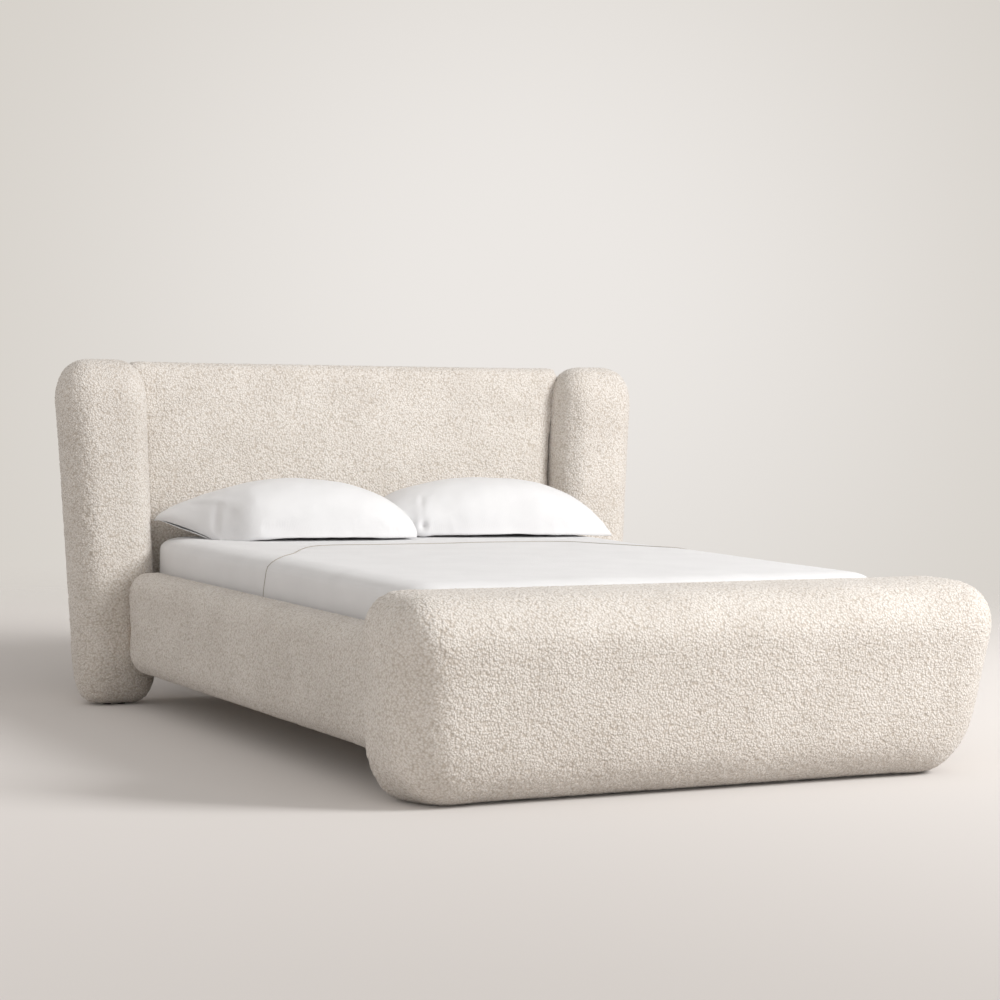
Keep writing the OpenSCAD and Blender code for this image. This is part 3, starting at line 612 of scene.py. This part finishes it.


# %% [markdown]
# White cotton percale is woven over and under from fine thread, about four threads to the
# millimetre. That is far too fine to show, so the weave is drawn at 1.6 mm and very faint. What
# the eye gets is a matt, chalky white with the smallest softness of light across it. The piping
# is a fine cord in the same cloth; it is coloured a little greyer than the sheet, painted shade
# that stands in for the shadow along the hem, so it reads as one thin line.
#
# Mattress ticking is a coarser, off-white weave. The lining is a black non-woven felt that only
# shows as a dull dark sheet. The pillows' own cambric is close to the percale and seldom seen.

# %% Percale and other plain cloths
def woven(name, hex_colour, thread, depth, sheen=0.1, roughness=0.85, mottle=0.04):
    """A plain-woven cloth. thread is the drawn thread spacing and depth its relief, in metres."""
    material, tree = new_finish(name)
    at = add(tree, "ShaderNodeTexCoord").outputs["Object"]
    heights = []
    for direction in ("X", "Y", "Z"):
        heights.append(add(tree, "ShaderNodeTexWave", {"Vector": at, "Scale": 1 / thread / 3.2},
                           bands_direction=direction).outputs["Fac"])
    pair = add(tree, "ShaderNodeMath", {0: heights[0], 1: heights[1]}, operation="ADD")
    sum_up = add(tree, "ShaderNodeMath", {0: pair.outputs[0], 1: heights[2]}, operation="ADD")
    slub = add(tree, "ShaderNodeTexNoise", {"Vector": at, "Scale": 1 / (8 * thread), "Detail": 4.0})
    mixed = add(tree, "ShaderNodeMath", {0: slub.outputs[0], 1: 2.0, 2: sum_up.outputs[0]},
                operation="MULTIPLY_ADD")
    bump = add(tree, "ShaderNodeBump", {"Height": mixed.outputs[0], "Distance": depth, "Strength": 0.5})
    cloud = add(tree, "ShaderNodeTexNoise", {"Vector": at, "Scale": 1 / 0.12, "Detail": 3.0})
    base = linear(hex_colour)
    ramp = add(tree, "ShaderNodeValToRGB", {0: cloud.outputs[0]})
    ramp.color_ramp.elements[0].position, ramp.color_ramp.elements[1].position = 0.3, 0.7
    ramp.color_ramp.elements[0].color = tuple(c * (1 - mottle) for c in base[:3]) + (1,)
    ramp.color_ramp.elements[1].color = base
    cloth = add(tree, "ShaderNodeBsdfPrincipled", {
        "Base Color": ramp.outputs[0], "Roughness": roughness, "Normal": bump.outputs[0],
        "Sheen Weight": sheen, "Sheen Roughness": 0.4, "Specular IOR Level": 0.2,
    })
    add(tree, "ShaderNodeOutputMaterial", {"Surface": cloth.outputs[0]})
    return material


percale = woven("cotton_percale_woven", "#efeff0", 0.0016, 0.0004)
ticking = woven("mattress_ticking_woven", "#ece7dd", 0.004, 0.001)
lining = woven("black_nonwoven_lining", "#1d1c1c", 0.003, 0.0006, sheen=0.2)
inner_cloth = woven("pillow_cambric_woven", "#f2f0ec", 0.0016, 0.0004)


def dress(piece, material, body, node):
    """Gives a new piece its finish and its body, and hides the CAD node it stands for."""
    piece.data.materials.clear()
    piece.data.materials.append(material)
    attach(piece, body)
    if node:
        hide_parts(node)
    return piece


# %% [markdown]
# The mattress is hidden by its sheets, but it is lifted out to make the bed, and then its
# underside shows. It is a crowned slab with a tape edge: a round cord sewn along the top and
# bottom rims. The cord follows the slab's rounded corners.

# %% Mattress
m_low, m_high = (np.array(v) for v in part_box("mattress"))
corner = np.array((0.085, 0.085, 0.04))


def rim_line(low, high, radius, height, count=24):
    """A closed line round the slab at that height."""
    line = []
    for k, (sx, sy) in enumerate(((1, 1), (-1, 1), (-1, -1), (1, -1))):
        mid = np.array([(low[0], high[0])[sx > 0] - sx * radius, (low[1], high[1])[sy > 0] - sy * radius])
        for i in range(count + 1):
            turn = math.pi / 2 * (k + i / count)
            line.append((mid[0] + radius * math.cos(turn), mid[1] + radius * math.sin(turn), height))
    return np.array(line)


def cord_along(name, line, radius, sides=8, closed=False):
    """A round cord along a line of points."""
    line = np.asarray(line, float)
    ahead = np.roll(line, -1, 0) if closed else np.vstack([line[1:], 2 * line[-1:] - line[-2:-1]])
    behind = np.roll(line, 1, 0) if closed else np.vstack([2 * line[:1] - line[1:2], line[:-1]])
    along = ahead - behind
    along /= np.linalg.norm(along, axis=1, keepdims=True)
    side = np.cross(along, (0.13, 0.21, 0.97))
    side /= np.linalg.norm(side, axis=1, keepdims=True)
    over = np.cross(side, along)
    turn = np.arange(sides) * 2 * math.pi / sides
    ring = side[:, None] * np.cos(turn)[:, None] + over[:, None] * np.sin(turn)[:, None]
    points = (line[:, None] + radius * ring).reshape(-1, 3)
    faces, n = [], len(line)
    for i in range(n if closed else n - 1):
        for j in range(sides):
            a, b = i * sides, (i + 1) % n * sides
            k = (j + 1) % sides
            faces.append((a + j, a + k, b + k, b + j))
    if not closed:
        faces += [tuple(range(sides))[::-1], tuple((n - 1) * sides + j for j in range(sides))]
    return put(name, points, faces)


def join(name, pieces):
    """One object from several, without materials; the pieces themselves are removed."""
    points, faces = [], []
    for piece in pieces:
        start = len(points)
        points += [tuple(piece.matrix_world @ v.co) for v in piece.data.vertices]
        faces += [[start + i for i in f.vertices] for f in piece.data.polygons]
        bpy.data.objects.remove(piece)
    return put(name, points, faces)


trim = 0.003
slab = soft_block("slab", m_low + trim, m_high - trim, corner, 0.03)
rims = [cord_along(f"rim_{i}", rim_line(m_low + trim, m_high - trim, corner[0], z), 0.0028, closed=True)
        for i, z in enumerate((m_low[2] + corner[2], m_high[2] - corner[2]))]
mattress = dress(join("mattress_body", [slab, *rims]), ticking, "mattress", "mattress")

# %% [markdown]
# The fitted sheet wraps the mattress and turns under it by the width of a hand, where elastic
# holds it. Its flat cut is the top plus, on every side, the depth and the turn-under.

# %% Fitted sheet
turn_under = 0.07


def linen_layer(name, gap, step, leave_out=(), square_sides=(), y_map=None):
    """A sheet round the mattress, gap outside it, open underneath."""
    low, high = m_low - (gap, gap, gap * 0.4), m_high + gap
    piece = soft_block(name, low, high, corner, step, leave_out, square_sides)
    points = points_of(piece)
    if y_map:
        points[:, 1] = y_map(points)
        move_points(piece, points)
    upper = np.clip((points[:, 2] - m_low[2] - 0.05) / 0.05, 0, 1)
    move_points(piece, points + normals_of(piece) * (bedding_waves(points) * upper)[:, None])
    inner = [m_low[0] + turn_under, m_high[0] - turn_under, m_low[1] + turn_under, m_high[1] - turn_under]
    drop_faces(piece, lambda x, y, z: z < m_low[2] + 0.0005 and inner[0] < x < inner[1]
               and inner[2] < y < inner[3] + (9 if (1, 1) in leave_out else 0))
    return piece


fitted = linen_layer("fitted_sheet_cloth", 0.0008, 0.015)
thicken(fitted, 0.0012)
dress(fitted, percale, "mattress", "fitted_sheet")
size = m_high - m_low

# %% [markdown]
# The top sheet lies over the foot two thirds of the bed and is tucked in at the sides and foot.
# Tucking pulls its piped head edge back at the sides, so the hem runs straight across the middle
# and sweeps towards the foot as it reaches each edge.

# %% Top sheet and its piped hem
hem_middle = 0.51


def hem_at(across, z):
    """Where the hem lies along the bed, from how far across and how high the point is."""
    ease = lambda t: t * t * (3 - 2 * t)
    out = ease(np.clip((np.abs(across) - 0.40) / 0.36, 0, 1))
    down = ease(np.clip((m_high[2] - z) / 0.12, 0, 1))
    return hem_middle - 0.41 * out + 0.03 * down


def towards_hem(points):
    """Slides the sheet's points along the bed so that its head end follows the hem."""
    foot_part, head_end = m_low[1] + 0.12, m_high[1] + sheet_gap
    share = np.clip((points[:, 1] - foot_part) / (head_end - foot_part), 0, 1)
    along = foot_part + (hem_at(points[:, 0], points[:, 2]) - foot_part) * share
    return np.where(points[:, 1] > foot_part, along, points[:, 1])


sheet_gap = 0.0032
cover = linen_layer("top_sheet_cloth", sheet_gap, 0.015, [(1, 1)], [(1, 1)], towards_hem)
edge_counts = {}
for face in cover.data.polygons:
    for key in face.edge_keys:
        edge_counts[key] = edge_counts.get(key, 0) + 1
hem_points = {i for key, n in edge_counts.items() if n == 1 for i in key}
rim = points_of(cover)
on_hem = [i for i in hem_points if abs(rim[i, 1] - hem_at(rim[i, 0], rim[i, 2])) < 0.004
          and rim[i, 2] > m_low[2] + 0.02]
middle_z = m_high[2] - corner[2]
on_hem.sort(key=lambda i: math.atan2(rim[i, 2] - middle_z + 0.15, rim[i, 0]), reverse=True)
thicken(cover, 0.0012)
dress(cover, percale, "mattress", "top_sheet")
piping = cord_along("top_sheet_piping", rim[on_hem] + (0, 0, 0.0008), 0.0024)
# The piping's greyer colour is painted shade: it stands in for the shadow along the hem.
piping_painted_shade = woven("cotton_piping_cord_grey", "#b5aea6", 0.0016, 0.0005)
dress(piping, piping_painted_shade, "mattress", None)
across = size[0] + 2 * (size[2] + turn_under)

# %% [markdown]
# ## Pillows
#
# A pillow at rest is low and plump: its top swells like a loaf, its underside is flat on the
# sheet, and its ends taper. It is built as rings from end to end, each a soft oval whose height
# follows the loaf. The case is left open at its outer end, a little past the pillow, where the
# empty cloth folds down flat and slants back towards the headboard.

# %% Pillow form
crest, on_sheet = 0.766, m_high[2] + 0.0022


def pillow_form(name, ends, tip, softness, half_depth, slant, droop, shrink=0.0, rings=140, around=120):
    """ends are the (x, y) of the outer and the inner end, tip their heights; softness and slant
    too are given outer end first. A slant draws the ring's front part back along the pillow, and
    a droop lowers it at the outer end."""
    u = np.linspace(-1, 1, rings)[:, None]
    turn = np.linspace(0, 2 * math.pi, around, endpoint=False)[None, :]
    share = (u + 1) / 2
    middle = [ends[0][i] + (ends[1][i] - ends[0][i]) * share for i in (0, 1)]
    outward = np.sign(ends[0][0] - ends[1][0])
    soft = np.where(u < 0, softness[0], softness[1])
    rise = np.maximum(1 - np.abs(u) ** 2.2, 0) ** soft
    end_z = np.where(u < 0, tip[0], tip[1])
    ease = np.clip((np.abs(u) - 0.45) / 0.55, 0, 1) ** 2
    top = end_z + (crest - shrink - end_z) * rise
    under = on_sheet + shrink + np.where(u < 0, end_z - 0.014 - on_sheet, 0.004) * ease
    seam = under + (top - under) * 0.20
    depth = (half_depth - shrink) * (1 - np.where(u < 0, 0.42, 0.30) * np.abs(u) ** 3)
    c, s = np.cos(turn), np.sin(turn)
    off = depth * np.sign(c) * np.abs(c) ** 0.85
    bulge = seam + (top - seam) * np.abs(s) ** 0.95
    flat_base = seam - (seam - under) * np.abs(s) ** 0.38
    z = np.where(s >= 0, bulge, flat_base)
    outer = np.clip((np.abs(u) - 0.5) / 0.5, 0, 1) ** 1.6
    pull = np.where(u < 0, slant[0], slant[1]) * outer * np.sign(u)
    x = middle[0] - pull * outward * off
    z = z + np.where(u < 0, droop, 0.0) * outer * off
    points = np.stack([x + 0 * off, middle[1] + off, z + 0 * off], -1).reshape(-1, 3)
    points[:, 2] = np.maximum(points[:, 2], on_sheet + shrink)
    faces = []
    for i in range(rings - 1):
        for j in range(around):
            k = (j + 1) % around
            ring = (i * around + j, i * around + k, (i + 1) * around + k, (i + 1) * around + j)
            faces.append(ring if outward > 0 else ring[::-1])
    return put(name, points, faces)


def close_ends(piece, rings=140, around=120, both=True):
    """Sews the two lips of an end ring together."""
    faces = [tuple(f.vertices) for f in piece.data.polygons]
    points = points_of(piece)
    flip = faces[0][1] != 1
    for ring in ((0, rings - 1) if both else (rings - 1,)):
        start = ring * around
        for j in range(around // 2 - 1):
            a, b = start + j, start + j + 1
            c, d = start + (around - j - 1) % around, start + (around - j) % around
            quad = (a, b, c, d) if d != a else (a, b, c)
            faces.append(quad[::-1] if (ring == 0) == flip else quad)
    name, mesh = piece.name, piece.data
    bpy.data.objects.remove(piece)
    return put(name, points, faces)


def sew_folds(piece, folds):
    """Pushes soft ridges into cloth. Each fold is (start, end, width, height)."""
    points, normals = points_of(piece), normals_of(piece)
    rise = np.zeros(len(points))
    for start, end, width, height in folds:
        start, end = np.array(start), np.array(end)
        run = end - start
        t = np.clip((points - start) @ run / (run @ run), 0, 1)
        away = np.linalg.norm(points - start - t[:, None] * run, axis=1)
        fading = np.clip(1 - t, 0, 1) ** 0.7
        rise += height * fading * (np.exp(-(away / width) ** 2) - 0.6 * np.exp(-(away / width / 2.2) ** 2))
    move_points(piece, points + normals * rise[:, None])


# %% [markdown]
# The two pillows lie slightly askew: each one's left end is further back than its right end, so
# the left pillow's inner end sits in front of the right pillow's. A filled pillow goes inside
# each case, eight millimetres smaller and short of the open end.

# %% Pillows in their cases
layout = {
    "left": dict(ends=((-0.702, 0.957), (0.050, 0.860)), tip=(0.596, 0.625), softness=(0.52, 0.72),
                 half_depth=0.185, slant=(0.72, 0.10), droop=0.34),
    "right": dict(ends=((0.802, 0.842), (0.000, 0.985)), tip=(0.588, 0.640), softness=(0.70, 0.60),
                  half_depth=0.180, slant=(0.05, 0.10), droop=0.10),
}
folds = {
    "left": [((0.10, 0.76, 0.63), (-0.10, 0.70, 0.66), 0.012, 0.006),
             ((0.09, 0.80, 0.65), (-0.12, 0.76, 0.72), 0.014, 0.005),
             ((-0.64, 0.86, 0.58), (-0.60, 0.92, 0.70), 0.016, 0.010),
             ((-0.62, 0.85, 0.575), (-0.40, 0.71, 0.62), 0.018, 0.006)],
    "right": [((0.10, 0.82, 0.60), (0.115, 0.87, 0.72), 0.012, 0.012),
              ((0.10, 0.82, 0.60), (0.18, 0.85, 0.71), 0.012, 0.012),
              ((0.11, 0.82, 0.60), (0.24, 0.80, 0.65), 0.011, 0.010),
              ((0.77, 0.74, 0.59), (0.60, 0.71, 0.63), 0.014, 0.006)],
}
for side, shape in layout.items():
    body = f"pillow_{side}"
    case = pillow_form(f"pillowcase_cloth_{side}", **shape)
    swell(case, 2.0, 0.006, frames=14)
    case = close_ends(case, both=False)
    sew_folds(case, folds[side])
    points = points_of(case)
    puff_up = 0.0022 * soft_noise(points, 0.085, 11) + 0.0010 * soft_noise(points, 0.035, 12)
    move_points(case, points + normals_of(case) * puff_up[:, None])
    points = points_of(case)
    points[:, 2] = np.maximum(points[:, 2], on_sheet)
    move_points(case, points)
    thicken(case, 0.0012, offset=-1)
    dress(case, percale, body, f"pillowcase_{side}")
    inner_ends = [list(e) for e in shape["ends"]]
    for i in (0, 1):
        inner_ends[0][i] += 0.07 * (shape["ends"][1][i] - shape["ends"][0][i])
        inner_ends[1][i] -= 0.02 * (shape["ends"][1][i] - shape["ends"][0][i])
    filling = pillow_form(f"pillow_filling_{side}", **{**shape, "ends": inner_ends, "shrink": 0.008})
    filling = close_ends(filling)
    dress(filling, inner_cloth, body, body)

# %% [markdown]
# ## Linings
#
# A black non-woven lining closes the headboard's back and the footboard's underside. It is
# pulled over the frame, its edge is turned in, and staples hold it every few centimetres. The
# cloth is drawn tight between them, so its edge is very slightly scalloped.

# %% Linings
staple_gap = 0.055


def ends_of(node, along):
    """The outer face's height at the two ends of the node, for a lining that leans."""
    low, high = (np.array(v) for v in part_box(node))
    corners = np.array([v.co for v in nodes[node].data.vertices])
    out = 1 if along == 2 else 2
    facing = -1 if out == 2 else 1
    return [(facing * corners[np.abs(corners[:, along] - edge) < 0.003][:, out]).max() * facing
            for edge in (low[along], high[along])]


def lining_points(node, across, along, step=0.008):
    """A grid over the node's outer face. across and along are the axes that the cloth spans."""
    out = 3 - across - along
    low, high = (np.array(v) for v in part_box(node))
    facing = -1 if out == 2 else 1
    ends = ends_of(node, along)
    counts = [math.ceil((high[i] - low[i]) / step) for i in (across, along)]
    u, v = np.meshgrid(*[np.linspace(0, 1, n + 1) for n in counts], indexing="ij")
    wide, tall = high[across] - low[across], high[along] - low[along]
    from_sides = np.minimum(u, 1 - u) * wide
    from_ends = np.minimum(v, 1 - v) * tall
    edge = np.minimum(from_sides, from_ends)
    run = np.where(from_sides < from_ends, v * tall, u * wide)
    scallop = np.abs(np.sin(math.pi * run / staple_gap))
    drawn = 0.0012 * scallop * np.clip(1 - edge / 0.03, 0, 1)
    inward_u = np.where(u < 0.5, 1, -1) * drawn * (from_sides < from_ends)
    inward_v = np.where(v < 0.5, 1, -1) * drawn * (from_sides >= from_ends)
    points = np.zeros(u.shape + (3,))
    points[..., across] = low[across] + wide * u + inward_u
    points[..., along] = low[along] + tall * v + inward_v
    tuck = 0.0012 * np.clip((0.018 - edge) / 0.004, 0, 1)
    slack = 0.0010 * soft_noise(points.reshape(-1, 3), 0.14, 31).reshape(u.shape)
    pull = slack * np.clip(edge / 0.05, 0, 1)
    points[..., out] = ends[0] + (ends[1] - ends[0]) * v + facing * (tuck + 0.5 * pull + 0.0003)
    faces, tall_count = [], counts[1] + 1
    for i in range(counts[0]):
        for j in range(counts[1]):
            q = i * tall_count + j
            faces.append((q, q + 1, q + tall_count + 1, q + tall_count))
    return points.reshape(-1, 3), faces, (wide, tall), facing


def staple_row(name, node, across, along, out_normal, inset=0.009):
    """Wire staples along the lining's edge, each a flattened bridge ten millimetres long."""
    low, high = (np.array(v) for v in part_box(node))
    out = 3 - across - along
    ends = ends_of(node, along)
    lean = (ends[1] - ends[0]) / (high[along] - low[along])
    made = []
    for run, fixed in ((across, along), (along, across)):
        count = int((high[run] - low[run]) / staple_gap)
        for side in (0, 1):
            for k in range(count):
                middle = low.copy()
                middle[run] = low[run] + (k + 0.5) * (high[run] - low[run]) / count
                middle[fixed] = (low, high)[side][fixed] + (inset, -inset)[side]
                middle[out] = ends[0] + lean * (middle[along] - low[along])
                line = []
                for t, lift in ((-1, -1.4), (-0.96, -0.3), (-0.8, 0), (0.8, 0), (0.96, -0.3), (1, -1.4)):
                    p = middle.copy()
                    p[run] += 0.005 * t
                    p[out] += out_normal * 0.001 * (lift - 0.4)
                    line.append(p)
                made.append(cord_along(f"staple_{len(made)}", line, 0.0005, sides=6))
    return join(name, made)


for name, node, across, along, on in (
        ("headboard_back_lining", "headboard_back_cover", 0, 2, "headboard_stiles"),
        ("footboard_base_lining", "footboard_dust_cover", 0, 1, "footboard_core")):
    points, faces, flat, facing = lining_points(node, across, along)
    panel = put(name, points, faces)
    thicken(panel, 0.0008, offset=0)
    dress(panel, lining, "bed_frame", node)
    staples = staple_row(name + "_staples", node, across, along, facing)
    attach(staples, "bed_frame")
    print(name, "cut", [round(float(v), 3) for v in flat])

# %% [markdown]
# ## The hidden frame
#
# The timber, plates, screws and feet keep their CAD shapes. They only need real finishes. The
# frame is planed softwood: pale gold with darker lines of late wood a few millimetres apart that
# run along the longest side of each piece. So the grain is drawn once for each direction.
# Plywood shows its sanded birch face: paler, with wider and softer lines.
#
# Plates, screws and bolts are pressed steel with a dull zinc plating, which looks mid grey and a
# little cloudy, with soft highlights. Glides and slat holders are moulded nylon: black, with a
# fine grain that blurs what it reflects.

# %% Timber, plywood, steel and plastic
def planed_timber(name, light, dark, along, line_gap=0.006):
    material, tree = new_finish(name)
    at = add(tree, "ShaderNodeTexCoord").outputs["Object"]
    squeeze = [1.0, 1.0, 1.0]
    squeeze[along] = 0.035
    long = add(tree, "ShaderNodeVectorMath", {0: at, 1: squeeze}, operation="MULTIPLY").outputs[0]
    growth = add(tree, "ShaderNodeTexNoise", {"Vector": long, "Scale": 0.35 / line_gap, "Detail": 2.0})
    lines = add(tree, "ShaderNodeMath", {0: growth.outputs[0], 1: 22.0}, operation="MULTIPLY")
    wave = add(tree, "ShaderNodeMath", {0: lines.outputs[0]}, operation="SINE")
    fibre = add(tree, "ShaderNodeTexNoise", {"Vector": long, "Scale": 1 / 0.0015, "Detail": 3.0})
    mixed = add(tree, "ShaderNodeMath", {0: fibre.outputs[0], 1: 0.6, 2: wave.outputs[0]},
                operation="MULTIPLY_ADD")
    ramp = add(tree, "ShaderNodeValToRGB", {0: mixed.outputs[0]})
    ramp.color_ramp.elements[0].position, ramp.color_ramp.elements[0].color = 0.0, linear(light)
    ramp.color_ramp.elements[1].position, ramp.color_ramp.elements[1].color = 1.0, linear(dark)
    bump = add(tree, "ShaderNodeBump", {"Height": fibre.outputs[0], "Distance": 0.0004, "Strength": 0.4})
    wood = add(tree, "ShaderNodeBsdfPrincipled", {
        "Base Color": ramp.outputs[0], "Roughness": 0.6, "IOR": 1.5, "Normal": bump.outputs[0]})
    add(tree, "ShaderNodeOutputMaterial", {"Surface": wood.outputs[0]})
    return material


def speckled(name, hex_colour, grain, roughness, metallic, depth, variation):
    """Steel or plastic: fine grain in its roughness, faint clouds in its colour."""
    material, tree = new_finish(name)
    at = add(tree, "ShaderNodeTexCoord").outputs["Object"]
    cloud = add(tree, "ShaderNodeTexNoise", {"Vector": at, "Scale": 1 / (12 * grain), "Detail": 4.0})
    fine = add(tree, "ShaderNodeTexNoise", {"Vector": at, "Scale": 1 / grain, "Detail": 2.0})
    base = linear(hex_colour)
    ramp = add(tree, "ShaderNodeValToRGB", {0: cloud.outputs[0]})
    ramp.color_ramp.elements[0].color = tuple(c * (1 - variation) for c in base[:3]) + (1,)
    ramp.color_ramp.elements[1].color = tuple(min(1, c * (1 + variation)) for c in base[:3]) + (1,)
    rough = add(tree, "ShaderNodeMapRange", {"Value": fine.outputs[0], "To Min": roughness - 0.08,
                                             "To Max": roughness + 0.08})
    bump = add(tree, "ShaderNodeBump", {"Height": fine.outputs[0], "Distance": depth, "Strength": 0.3})
    made = add(tree, "ShaderNodeBsdfPrincipled", {
        "Base Color": ramp.outputs[0], "Roughness": rough.outputs[0], "Metallic": metallic,
        "Normal": bump.outputs[0]})
    add(tree, "ShaderNodeOutputMaterial", {"Surface": made.outputs[0]})
    return material


spruce = [planed_timber(f"spruce_planed_along_{axis}", "#dcc193", "#b98d56", i)
          for i, axis in enumerate("xyz")]
birch = planed_timber("birch_plywood_sanded", "#e6d3ae", "#cdaf80", 0, 0.012)
zinc = speckled("steel_zinc_plated", "#9c9fa3", 0.0015, 0.38, 1.0, 0.0001, 0.12)
nylon = speckled("nylon_black_moulded", "#1b1b1d", 0.0012, 0.5, 0.0, 0.0001, 0.15)
for name in ("headboard_back_lining_staples", "footboard_base_lining_staples"):
    bpy.data.objects[name].data.materials.append(zinc)
for node_name, part in nodes.items():
    low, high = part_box(node_name)
    longest = max(range(3), key=lambda i: high[i] - low[i])
    finishes = {"frame_timber": spruce[longest], "slat_timber": spruce[longest], "plywood": birch,
                "zinc_steel": zinc, "black_plastic": nylon, "black_cloth": lining}
    for spot in part.material_slots:
        if spot.material and spot.material.name.split(".")[0] in finishes:
            spot.material = finishes[spot.material.name.split(".")[0]]
